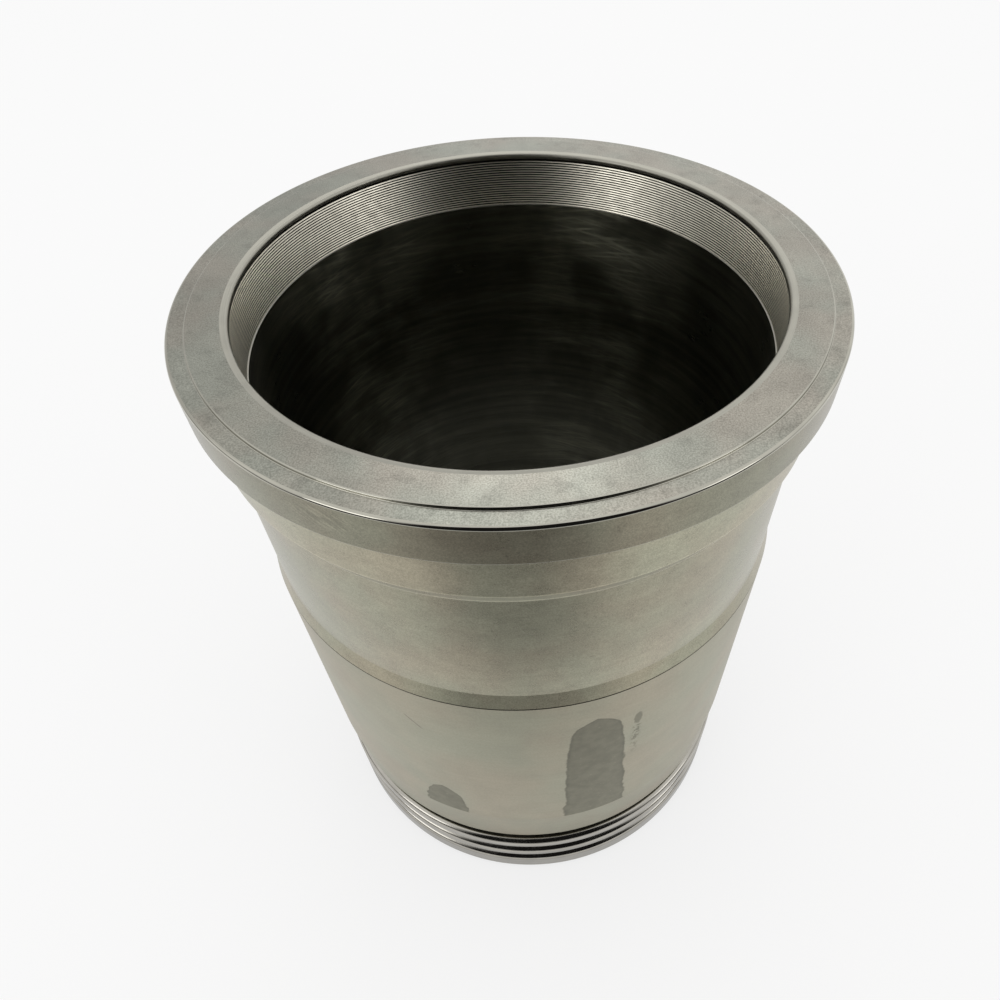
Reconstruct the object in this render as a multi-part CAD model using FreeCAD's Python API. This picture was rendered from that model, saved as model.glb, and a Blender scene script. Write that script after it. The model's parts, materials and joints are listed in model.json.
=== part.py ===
"""Wet cylinder liner: one turned iron sleeve with a top flange and three seal grooves."""

import math
import os

import FreeCAD
import Part

# Own frame, millimetres: the origin is the centre of the lower end face, +Z runs up the bore.

# Overall sizes.
bore_radius = 65.0
overall_height = 203.0
neck_wall = 8.9

# Flange and top face.
flange_overhang = 2.95
flange_thickness = 10.1
flange_corner_radius = 0.7
flange_foot_radius = 0.3
top_land_rise = 0.6
top_land_inset = 4.15
top_land_edge_radius = 0.35
top_land_foot_radius = 0.15

# Upper pilot band under the flange, and the lead below it.
pilot_rise = 1.9
pilot_height = 14.15
pilot_seat_fillet = 0.4
lead_height = 4.55
lead_blend_height = 1.1
lead_blend_rise = 0.4

# Neck, then the thicker body, with a conical shoulder above it and a slight taper below.
neck_height = 40.1
body_rise = 1.25
shoulder_height = 4.7
taper_height = 19.9
taper_foot_radius = 1.0

# Fine turned line at the foot of the conical shoulder.
line_width = 0.5
line_depth = 0.2

# Seal grooves at the lower end, and the lands between them.
groove_count = 3
groove_width = 4.8
groove_depth = 3.8
groove_floor_radius = 0.5
land_rise = 1.1
land_shoulder_radius = 2.0
land_flat_height = 1.7
land_foot_radius = 0.3
skirt_height = 5.5
lower_chamfer_height = 1.8
lower_chamfer_width = 1.0

# Bore: lip at the top, relief groove, belt of fine turned rings, plain wall, lower chamfer.
lip_bevel_width = 0.9
lip_bevel_drop = 0.2
lip_radius = 0.8
lip_foot_depth = 1.6
relief_width = 0.4
relief_depth = 0.8
belt_relief = 0.3
ring_count = 19
ring_pitch = 0.715
ring_depth = 0.14
belt_step_height = 0.15
bore_chamfer_height = 1.2
bore_chamfer_width = 1.0

# Radii that follow from the sizes above.
neck_radius = bore_radius + neck_wall
pilot_radius = neck_radius + pilot_rise
flange_radius = pilot_radius + flange_overhang
top_land_radius = flange_radius - top_land_inset
body_radius = neck_radius + body_rise
land_radius = neck_radius + land_rise
groove_floor = land_radius - groove_depth
lip_start_radius = bore_radius + lip_radius + lip_bevel_width
belt_radius = bore_radius + belt_relief
relief_radius = bore_radius + relief_depth

# Heights that follow, counted up from the lower end face.
shoulder_z = overall_height - top_land_rise
flange_foot_z = shoulder_z - flange_thickness
pilot_foot_z = flange_foot_z - pilot_height
lead_foot_z = pilot_foot_z - lead_height
neck_foot_z = lead_foot_z - neck_height
body_top_z = neck_foot_z - shoulder_height
skirt_top_z = lower_chamfer_height + skirt_height + land_shoulder_radius
land_height = land_flat_height + land_shoulder_radius
grooves_top_z = skirt_top_z + groove_count * groove_width + (groove_count - 1) * land_height
body_foot_z = grooves_top_z + taper_height
relief_top_z = overall_height - lip_foot_depth
relief_foot_z = relief_top_z - relief_width
belt_foot_z = relief_foot_z - ring_count * ring_pitch - belt_step_height


class Outline:
    """Closed outline in the half plane that is turned about the Z axis."""

    def __init__(self, radius, height):
        """Start the outline at a point.

        Args:
            radius: distance from the axis, in millimetres.
            height: height above the lower end face, in millimetres.
        """
        self.start = FreeCAD.Vector(radius, 0.0, height)
        self.end = self.start
        self.edges = []

    def line(self, radius, height):
        """Run a straight edge to a point, given by its radius and height."""
        target = FreeCAD.Vector(radius, 0.0, height)
        self.edges.append(Part.LineSegment(self.end, target).toShape())
        self.end = target

    def arc(self, centre_radius, centre_height, sweep):
        """Run a circular edge about a centre.

        Args:
            centre_radius: radius at which the arc's centre lies.
            centre_height: height at which the arc's centre lies.
            sweep: angle turned in degrees, anticlockwise with radius to the right.
        """
        centre = FreeCAD.Vector(centre_radius, 0.0, centre_height)
        spoke = self.end - centre
        middle = centre + self.turned(spoke, sweep / 2.0)
        target = centre + self.turned(spoke, sweep)
        self.edges.append(Part.Arc(self.end, middle, target).toShape())
        self.end = target

    def close(self):
        """Run a straight edge back to the start."""
        self.line(self.start.x, self.start.z)

    @staticmethod
    def turned(spoke, angle):
        """Return a spoke turned by an angle in degrees."""
        cosine = math.cos(math.radians(angle))
        sine = math.sin(math.radians(angle))
        across = spoke.x * cosine - spoke.z * sine
        along = spoke.x * sine + spoke.z * cosine
        return FreeCAD.Vector(across, 0.0, along)

    def solid(self):
        """Turn the outline once about the Z axis and return the solid."""
        face = Part.Face(Part.Wire(self.edges))
        return face.revolve(FreeCAD.Vector(0, 0, 0), FreeCAD.Vector(0, 0, 1), 360)


def lower_end(outline):
    """Draw the lower chamfer, the skirt, the seal grooves and their lands, going up."""
    outline.line(land_radius - lower_chamfer_width, 0.0)
    outline.line(land_radius, lower_chamfer_height)
    for index in range(groove_count):
        shoulder_z_now = skirt_top_z + index * (groove_width + land_height)
        outline.line(land_radius, shoulder_z_now - land_shoulder_radius)
        outline.arc(land_radius - land_shoulder_radius, shoulder_z_now - land_shoulder_radius, 90)
        floor_turn = groove_floor + groove_floor_radius
        outline.line(floor_turn, shoulder_z_now)
        outline.arc(floor_turn, shoulder_z_now + groove_floor_radius, -90)
        groove_top_z = shoulder_z_now + groove_width
        outline.line(groove_floor, groove_top_z - groove_floor_radius)
        outline.arc(floor_turn, groove_top_z - groove_floor_radius, -90)
        upper_radius, corner_radius = land_radius, land_foot_radius
        if index == groove_count - 1:
            upper_radius, corner_radius = neck_radius, taper_foot_radius
        outline.line(upper_radius - corner_radius, groove_top_z)
        outline.arc(upper_radius - corner_radius, groove_top_z + corner_radius, 90)


def body_and_neck(outline):
    """Draw the taper, the body, the fine line, the conical shoulder and the neck, going up."""
    outline.line(body_radius, body_foot_z)
    outline.line(body_radius, body_top_z - line_width)
    outline.line(body_radius - line_depth, body_top_z - line_width / 2.0)
    outline.line(body_radius, body_top_z)
    outline.line(neck_radius, neck_foot_z)
    outline.line(neck_radius, lead_foot_z)


def pilot_and_flange(outline):
    """Draw the lead, the pilot band, the flange and the stepped top face, going up and in."""
    outline.line(neck_radius + lead_blend_rise, lead_foot_z + lead_blend_height)
    outline.line(pilot_radius, pilot_foot_z)
    outline.line(pilot_radius, flange_foot_z - pilot_seat_fillet)
    outline.arc(pilot_radius + pilot_seat_fillet, flange_foot_z - pilot_seat_fillet, -90)
    outline.line(flange_radius - flange_foot_radius, flange_foot_z)
    outline.arc(flange_radius - flange_foot_radius, flange_foot_z + flange_foot_radius, 90)
    outline.line(flange_radius, shoulder_z - flange_corner_radius)
    outline.arc(flange_radius - flange_corner_radius, shoulder_z - flange_corner_radius, 90)
    outline.line(top_land_radius + top_land_foot_radius, shoulder_z)
    outline.arc(top_land_radius + top_land_foot_radius, shoulder_z + top_land_foot_radius, -90)
    outline.line(top_land_radius, overall_height - top_land_edge_radius)
    edge_centre = top_land_radius - top_land_edge_radius
    outline.arc(edge_centre, overall_height - top_land_edge_radius, 90)
    outline.line(lip_start_radius, overall_height)


def bore(outline):
    """Draw the lip, the relief groove, the belt of rings, the plain wall and its chamfer."""
    lip_z = overall_height - lip_bevel_drop
    outline.line(bore_radius + lip_radius, lip_z)
    outline.arc(bore_radius + lip_radius, lip_z - lip_radius, 90)
    outline.line(bore_radius, relief_top_z)
    outline.line(relief_radius, relief_top_z)
    outline.line(relief_radius, relief_foot_z)
    outline.line(belt_radius, relief_foot_z)
    for index in range(ring_count):
        ring_top_z = relief_foot_z - index * ring_pitch
        outline.line(belt_radius + ring_depth, ring_top_z - ring_pitch / 2.0)
        outline.line(belt_radius, ring_top_z - ring_pitch)
    outline.line(bore_radius, belt_foot_z)
    outline.line(bore_radius, bore_chamfer_height)
    outline.close()


def build_liner():
    """Return the liner as one solid."""
    outline = Outline(bore_radius + bore_chamfer_width, 0.0)
    lower_end(outline)
    body_and_neck(outline)
    pilot_and_flange(outline)
    bore(outline)
    return outline.solid()


os.makedirs("parts", exist_ok=True)
build_liner().exportStep("parts/cylinder_liner.step")
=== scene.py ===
"""Wet cylinder liner: one turned iron sleeve, drawn band by band and finished band by band."""

import json
import logging
import math
from dataclasses import dataclass
from enum import Enum

import bmesh
import bpy
from mathutils import Matrix, Vector


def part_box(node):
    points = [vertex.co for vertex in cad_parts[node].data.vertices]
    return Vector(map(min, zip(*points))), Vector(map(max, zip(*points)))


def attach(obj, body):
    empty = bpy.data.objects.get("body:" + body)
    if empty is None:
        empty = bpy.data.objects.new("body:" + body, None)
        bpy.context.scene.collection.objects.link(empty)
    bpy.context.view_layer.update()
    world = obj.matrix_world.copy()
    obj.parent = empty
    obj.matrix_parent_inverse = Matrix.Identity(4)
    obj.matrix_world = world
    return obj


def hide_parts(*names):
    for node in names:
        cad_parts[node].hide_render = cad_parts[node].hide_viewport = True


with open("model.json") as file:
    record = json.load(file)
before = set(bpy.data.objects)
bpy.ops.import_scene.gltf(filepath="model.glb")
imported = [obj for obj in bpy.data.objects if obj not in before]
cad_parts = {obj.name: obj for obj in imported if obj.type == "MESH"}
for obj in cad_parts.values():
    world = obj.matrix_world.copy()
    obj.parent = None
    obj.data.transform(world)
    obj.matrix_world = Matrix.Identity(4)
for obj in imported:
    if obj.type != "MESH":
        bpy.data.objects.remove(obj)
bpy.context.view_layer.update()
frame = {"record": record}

LOG = logging.getLogger("liner")
MM = 0.001
NODE = "cylinder_liner"
STEPS_ROUND = 360
# Edges that turn less than this look smooth, apart from those in an arc, which always do.
CORNER = math.radians(3.0)
# Gap between bands that is closed, in metres.
WELD = 1e-6
# How far the flange's side and the top face stay inside the overall box, in millimetres.
CLEARANCE = 0.002
# Outside radius of the body, which its marks are laid round, in millimetres.
BODY_RADIUS = 75.15
# Values that cloudy patterns seldom leave, and the weight of the finer layers in tool marks.
CLOUD_LEVELS = (0.3, 0.7)
CAST_LEVELS = (0.32, 0.68)
MARK_WEIGHT = 0.6
# Casts that the iron's colour drifts between.
WARM_CAST = (1.03, 0.985, 0.99)
COOL_CAST = (0.975, 1.01, 1.02)

Socket = bpy.types.NodeSocket
Value = Socket | float
Colour = tuple[float, float, float]
Range = tuple[float, float]
# Low, high, start and end: as one value goes from low to high, another goes from start to end.
Ramp = tuple[float, float, float, float]


class Finish(Enum):
    """Surface finishes of the liner, numbered by material slot."""

    BLASTED = 0
    GROUND = 1
    LAND = 2
    BURNISHED = 3
    FACE = 4
    LIP = 5
    BELT = 6
    HONED = 7
    # Near-black finish of grooves, reliefs and chamfers: painted shade.
    TURNED = 8


# ---------------------------------------------------------------------------------------
# Turning: outline drawing and the solid made from it
# ---------------------------------------------------------------------------------------


class Turning:
    """Half outline in the plane through the bore's axis, turned band by band into one shell."""

    def __init__(self, radius: float, height: float) -> None:
        """Start the outline at a point.

        Args:
            radius: distance from the axis, in millimetres.
            height: height above the lower end face, in millimetres.
        """
        self.shell = bmesh.new()
        self.length = 0.0
        self._start(Vector((radius * MM, 0.0, height * MM)))

    def line(self, radius: float, height: float) -> None:
        """Run a straight edge to a point.

        Args:
            radius: distance from the axis, in millimetres.
            height: height above the lower end face, in millimetres.
        """
        grown = bmesh.ops.extrude_vert_indiv(self.band, verts=[self.tip])
        grown["verts"][0].co = (radius * MM, 0.0, height * MM)
        self._reach(grown["verts"][0])

    def arc(self, centre_radius: float, centre_height: float, sweep: float, steps: int) -> None:
        """Run a round edge about a centre.

        Args:
            centre_radius: radius of the arc's centre, in millimetres.
            centre_height: height of the arc's centre, in millimetres.
            sweep: angle turned in degrees, anticlockwise with radius to the right.
            steps: number of straight steps in the arc.
        """
        for step in range(steps):
            grown = bmesh.ops.spin(
                self.band,
                geom=[self.tip],
                cent=(centre_radius * MM, 0.0, centre_height * MM),
                axis=(0.0, -1.0, 0.0),
                angle=math.radians(sweep) / steps,
                steps=1,
            )
            self._reach(grown["geom_last"][0])
            self.tip[self.rounded] = int(step < steps - 1)

    def turn(self, finish: Finish) -> None:
        """Turn the edges drawn since the last turn about the axis, and give them a finish.

        Args:
            finish: finish of the faces that this makes.
        """
        end = self.tip.co.copy()
        bmesh.ops.spin(
            self.band,
            geom=self.band.verts[:] + self.band.edges[:],
            cent=(0.0, 0.0, 0.0),
            axis=(0.0, 0.0, 1.0),
            angle=math.tau,
            steps=STEPS_ROUND,
            use_merge=True,
        )
        for face in self.band.faces:
            face.material_index = finish.value
            face.smooth = True
        ring = bpy.data.meshes.new("band")
        self.band.to_mesh(ring)
        self.band.free()
        self.shell.from_mesh(ring)
        bpy.data.meshes.remove(ring)
        self._start(end)

    def solid(self, name: str) -> bpy.types.Object:
        """Weld the bands into a closed piece.

        Args:
            name: name of the new object.

        Returns:
            The object, at the origin, with a map of its surface.
        """
        self.band.free()
        bmesh.ops.remove_doubles(self.shell, verts=self.shell.verts[:], dist=WELD)
        bmesh.ops.recalc_face_normals(self.shell, faces=self.shell.faces[:])
        rounded = self.shell.verts.layers.int["rounded"]
        for edge in self.shell.edges:
            in_arc = all(vert[rounded] for vert in edge.verts)
            edge.smooth = in_arc or edge.calc_face_angle(math.pi) < CORNER
        self.shell.verts.layers.int.remove(rounded)
        self._map_surface()
        shape = bpy.data.meshes.new(name)
        self.shell.to_mesh(shape)
        self.shell.free()
        piece = bpy.data.objects.new(name, shape)
        bpy.context.scene.collection.objects.link(piece)
        return piece

    def _start(self, place: Vector) -> None:
        """Begin a new band at a point of the outline.

        Args:
            place: the point, in metres.
        """
        self.band = bmesh.new()
        self.band.verts.layers.float.new("run")
        self.rounded = self.band.verts.layers.int.new("rounded")
        self.run = self.band.verts.layers.float["run"]
        self.tip = self.band.verts.new(place)
        self.tip[self.run] = self.length

    def _reach(self, vert: bmesh.types.BMVert) -> None:
        """Move the outline's end to a new vertex and note how far along it lies.

        Args:
            vert: new end of the outline.
        """
        self.length += (vert.co - self.tip.co).length
        vert[self.run] = self.length
        self.tip = vert

    def _map_surface(self) -> None:
        """Lay the surface flat: once round is one unit across, once along the outline one up."""
        run_layer = self.shell.verts.layers.float["run"]
        places = self.shell.loops.layers.uv.new("OFBake")
        for face in self.shell.faces:
            middle = face.calc_center_median()
            around = math.atan2(middle.y, middle.x)
            runs = [loop.vert[run_layer] for loop in face.loops]
            closing = max(runs) - min(runs) > self.length / 2.0
            for loop, run in zip(face.loops, runs, strict=True):
                place = loop.vert.co
                off = math.atan2(place.y, place.x) - around
                angle = around + (off + math.pi) % math.tau - math.pi
                along = self.length if closing and run == 0.0 else run
                loop[places].uv = (angle / math.tau + 0.5, along / self.length)
        self.shell.verts.layers.float.remove(run_layer)


# ---------------------------------------------------------------------------------------
# The liner's bands, from the lower end up the outside and down the bore (millimetres)
# ---------------------------------------------------------------------------------------


@dataclass(frozen=True)
class Datum:
    """Sizes that several bands share."""

    bore_radius: float
    land_radius: float
    pilot_radius: float
    flange_radius: float
    height: float
    neck_wall: float = 8.9
    body_rise: float = 1.25

    @property
    def neck_radius(self) -> float:
        """Outside radius of the neck."""
        return self.bore_radius + self.neck_wall

    @property
    def body_radius(self) -> float:
        """Outside radius of the body."""
        return self.neck_radius + self.body_rise

    @classmethod
    def from_frame(cls) -> "Datum":
        """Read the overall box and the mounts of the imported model.

        Returns:
            The shared sizes, in millimetres.
        """
        radii = {m["name"]: m["dims"].get("r_mm") for m in frame["record"]["mounts"]}
        high = Vector(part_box(NODE)[1])
        return cls(
            bore_radius=radii["cylinder_bore"],
            land_radius=radii["lower_pilot"],
            pilot_radius=radii["upper_pilot"],
            flange_radius=min(high.x, high.y) / MM - CLEARANCE,
            height=high.z / MM - CLEARANCE,
        )


@dataclass(frozen=True)
class Foot:
    """Lower chamfer, skirt, and the seal grooves with their lands."""

    grooves: int = 3
    groove_width: float = 4.8
    groove_depth: float = 3.8
    floor_radius: float = 0.5
    shoulder_radius: float = 2.0
    flat_height: float = 1.7
    land_foot_radius: float = 0.3
    taper_foot_radius: float = 1.0
    skirt_height: float = 5.5
    chamfer_height: float = 1.8
    chamfer_width: float = 1.0

    def draw(self, turning: Turning, datum: Datum) -> None:
        """Draw and turn the band, going up the outside.

        Args:
            turning: outline to draw on.
            datum: sizes that the bands share.
        """
        land = datum.land_radius
        floor = land - self.groove_depth
        round_floor = floor + self.floor_radius
        turning.line(land - self.chamfer_width, 0.0)
        turning.line(land, self.chamfer_height)
        turning.turn(Finish.TURNED)
        shoulder = self.chamfer_height + self.skirt_height + self.shoulder_radius
        for index in range(self.grooves):
            turning.line(land, shoulder - self.shoulder_radius)
            turning.arc(land - self.shoulder_radius, shoulder - self.shoulder_radius, 90.0, 10)
            turning.turn(Finish.LAND)
            turning.line(round_floor, shoulder)
            turning.arc(round_floor, shoulder + self.floor_radius, -90.0, 3)
            top = shoulder + self.groove_width
            turning.line(floor, top - self.floor_radius)
            turning.arc(round_floor, top - self.floor_radius, -90.0, 3)
            outer, corner = land, self.land_foot_radius
            if index == self.grooves - 1:
                outer, corner = datum.neck_radius, self.taper_foot_radius
            turning.line(outer - corner, top)
            turning.turn(Finish.TURNED)
            turning.arc(outer - corner, top + corner, 90.0, 5)
            turning.turn(Finish.GROUND if index == self.grooves - 1 else Finish.LAND)
            shoulder = top + self.flat_height + self.shoulder_radius


@dataclass(frozen=True)
class Body:
    """Thick body with a slight taper at its foot, a fine turned line and a conical shoulder."""

    foot: float = 51.0
    top: float = 128.8
    shoulder_height: float = 4.7
    line_width: float = 0.5
    line_depth: float = 0.2

    def draw(self, turning: Turning, datum: Datum) -> None:
        """Draw and turn the band, going up the outside.

        Args:
            turning: outline to draw on.
            datum: sizes that the bands share.
        """
        turning.line(datum.body_radius, self.foot)
        turning.line(datum.body_radius, self.top - self.line_width)
        turning.turn(Finish.GROUND)
        turning.line(datum.body_radius - self.line_depth, self.top - self.line_width / 2.0)
        turning.line(datum.body_radius, self.top)
        turning.turn(Finish.TURNED)
        turning.line(datum.neck_radius, self.top + self.shoulder_height)
        turning.turn(Finish.BLASTED)


@dataclass(frozen=True)
class Neck:
    """Waisted neck and the lead above it, up to the pilot band."""

    lead_foot: float = 173.6
    lead_height: float = 4.55
    lead_blend_height: float = 1.1
    lead_blend_rise: float = 0.4

    def draw(self, turning: Turning, datum: Datum) -> None:
        """Draw the band, going up the outside; the flange's first turn turns it.

        Args:
            turning: outline to draw on.
            datum: sizes that the bands share.
        """
        turning.line(datum.neck_radius, self.lead_foot)
        turning.line(
            datum.neck_radius + self.lead_blend_rise, self.lead_foot + self.lead_blend_height
        )
        turning.line(datum.pilot_radius, self.lead_foot + self.lead_height)


@dataclass(frozen=True)
class Flange:
    """Flange with its seat, rounded corner, shoulder and the raised flat ring on top."""

    thickness: float = 10.1
    seat_fillet: float = 0.4
    foot_radius: float = 0.3
    corner_radius: float = 0.7
    land_rise: float = 0.6
    land_inset: float = 4.15
    land_edge_radius: float = 0.35
    land_foot_radius: float = 0.15

    def draw(self, turning: Turning, datum: Datum) -> None:
        """Draw and turn the band, going up the outside and in over the top.

        Args:
            turning: outline to draw on.
            datum: sizes that the bands share.
        """
        outer, pilot = datum.flange_radius, datum.pilot_radius
        shoulder = datum.height - self.land_rise
        foot = shoulder - self.thickness
        turning.line(pilot, foot - self.seat_fillet)
        turning.arc(pilot + self.seat_fillet, foot - self.seat_fillet, -90.0, 3)
        turning.line(outer - self.foot_radius, foot)
        turning.turn(Finish.BLASTED)
        turning.arc(outer - self.foot_radius, foot + self.foot_radius, 90.0, 4)
        turning.turn(Finish.LIP)
        turning.line(outer, shoulder - self.corner_radius)
        turning.turn(Finish.BLASTED)
        turning.arc(outer - self.corner_radius, shoulder - self.corner_radius, 90.0, 8)
        turning.turn(Finish.BURNISHED)
        land = outer - self.land_inset
        turning.line(land + self.land_foot_radius, shoulder)
        turning.turn(Finish.FACE)
        turning.arc(
            land + self.land_foot_radius, shoulder + self.land_foot_radius, -90.0, 3
        )
        turning.line(land, datum.height - self.land_edge_radius)
        turning.arc(land - self.land_edge_radius, datum.height - self.land_edge_radius, 90.0, 8)
        turning.turn(Finish.BURNISHED)


@dataclass(frozen=True)
class Mouth:
    """Bevelled and rounded lip, relief groove and the belt of fine turned rings."""

    bevel_width: float = 0.9
    bevel_drop: float = 0.2
    lip_radius: float = 0.8
    lip_depth: float = 1.6
    relief_width: float = 0.4
    relief_depth: float = 0.8
    belt_relief: float = 0.3
    ring_count: int = 19
    ring_pitch: float = 0.715
    ring_depth: float = 0.14
    step_height: float = 0.15

    def draw(self, turning: Turning, datum: Datum) -> None:
        """Draw and turn the band, going in over the lip and down the bore.

        Args:
            turning: outline to draw on.
            datum: sizes that the bands share.
        """
        bore = datum.bore_radius
        turning.line(bore + self.lip_radius + self.bevel_width, datum.height)
        turning.turn(Finish.FACE)
        lip = datum.height - self.bevel_drop
        turning.line(bore + self.lip_radius, lip)
        turning.arc(bore + self.lip_radius, lip - self.lip_radius, 90.0, 8)
        relief_top = datum.height - self.lip_depth
        turning.line(bore, relief_top)
        turning.turn(Finish.LIP)
        relief_foot = relief_top - self.relief_width
        belt = bore + self.belt_relief
        turning.line(bore + self.relief_depth, relief_top)
        turning.line(bore + self.relief_depth, relief_foot)
        turning.line(belt, relief_foot)
        turning.turn(Finish.TURNED)
        for index in range(self.ring_count):
            ring_top = relief_foot - index * self.ring_pitch
            turning.line(belt + self.ring_depth, ring_top - self.ring_pitch / 2.0)
            turning.line(belt, ring_top - self.ring_pitch)
        turning.turn(Finish.BELT)
        turning.line(bore, relief_foot - self.ring_count * self.ring_pitch - self.step_height)
        turning.turn(Finish.LIP)


@dataclass(frozen=True)
class Bore:
    """Honed wall, the chamfer at its foot and the lower end face."""

    chamfer_height: float = 1.2
    chamfer_width: float = 1.0

    def draw(self, turning: Turning, datum: Datum) -> None:
        """Draw and turn the band, going down the bore.

        Args:
            turning: outline to draw on.
            datum: sizes that the bands share.
        """
        turning.line(datum.bore_radius, self.chamfer_height)
        turning.turn(Finish.HONED)
        turning.line(datum.bore_radius + self.chamfer_width, 0.0)
        turning.turn(Finish.TURNED)


# ---------------------------------------------------------------------------------------
# Finishes
# ---------------------------------------------------------------------------------------


class Nodes:
    """Node tree with short names for the nodes that finishes and lights are made of."""

    def __init__(self, tree: bpy.types.NodeTree) -> None:
        """Work in this tree."""
        self.tree = tree

    def node(self, kind: str, **values: object) -> bpy.types.Node:
        """Add a node and set its properties.

        Args:
            kind: type of the node.
            values: properties to set on it.

        Returns:
            The new node.
        """
        made = self.tree.nodes.new(kind)
        for name, value in values.items():
            setattr(made, name, value)
        return made

    def plug(self, value: Value | Colour, socket: Socket) -> None:
        """Feed a socket from another one, or set its own value.

        Args:
            value: socket or value to feed in.
            socket: input that takes it.
        """
        if isinstance(value, bpy.types.NodeSocket):
            self.tree.links.new(value, socket)
        else:
            socket.default_value = value

    def math(self, operation: str, first: Value, second: Value = 0.0) -> Socket:
        """Return the result of a sum on one or two values.

        Args:
            operation: name of the sum.
            first: first value.
            second: second value, where the sum has one.

        Returns:
            The result's socket.
        """
        made = self.node("ShaderNodeMath", operation=operation)
        self.plug(first, made.inputs[0])
        self.plug(second, made.inputs[1])
        return made.outputs[0]

    def vector(self, operation: str, first: Socket, second: Value | Colour) -> Socket:
        """Return the result of a sum on two vectors.

        Args:
            operation: name of the sum.
            first: first vector.
            second: second vector.

        Returns:
            The result's socket.
        """
        made = self.node("ShaderNodeVectorMath", operation=operation)
        self.plug(first, made.inputs[0])
        self.plug(second, made.inputs[1])
        return made.outputs[0]

    def combine(self, x: Value, y: Value, z: Value) -> Socket:
        """Return a vector made of three values.

        Args:
            x: first part.
            y: second part.
            z: third part.

        Returns:
            The vector's socket.
        """
        made = self.node("ShaderNodeCombineXYZ")
        for value, socket in zip((x, y, z), made.inputs, strict=True):
            self.plug(value, socket)
        return made.outputs[0]

    def ramp(self, value: Value, low: float, high: float, start: float, end: float) -> Socket:
        """Return a value that goes smoothly from start to end as another goes low to high.

        Args:
            value: value to follow.
            low: value where the change starts.
            high: value where it ends.
            start: result up to low.
            end: result from high on.

        Returns:
            The result's socket.
        """
        made = self.node("ShaderNodeMapRange", interpolation_type="SMOOTHSTEP")
        for given, name in (
            (value, "Value"),
            (low, "From Min"),
            (high, "From Max"),
            (start, "To Min"),
            (end, "To Max"),
        ):
            self.plug(given, made.inputs[name])
        return made.outputs[0]

    def product(self, *factors: Value) -> Socket:
        """Return several values multiplied together.

        Args:
            factors: values to multiply.

        Returns:
            The result's socket.
        """
        total = factors[0]
        for factor in factors[1:]:
            total = self.math("MULTIPLY", total, factor)
        return total

    def reach(self, across: Value, up: Value) -> Socket:
        """Return how far a flat place is from the middle."""
        return self.math("SQRT", self.math("ADD", self.square(across), self.square(up)))

    def square(self, value: Value) -> Socket:
        """Return a value times itself."""
        return self.math("MULTIPLY", value, value)

    def scaled(self, value: Value, factor: float, offset: float = 0.0) -> Socket:
        """Return a value times a factor, plus an offset."""
        return self.math("ADD", self.math("MULTIPLY", value, factor), offset)


@dataclass(frozen=True)
class Cloud:
    """Cloudy pattern: a cloud's width in mm, its finer layers, their weight, and its effect."""

    size: float
    layers: float = 2.0
    weight: float = 0.5
    gain: float = 0.0


@dataclass(frozen=True)
class Lines:
    """Fine marks round the axis: their width and fading distance in mm, and their effect."""

    pitch: float
    fade: float
    gain: float = 0.0


@dataclass(frozen=True)
class Relief:
    """Fine unevenness of a surface: its height in mm and the weight of its effect."""

    depth: float
    weight: float


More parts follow.
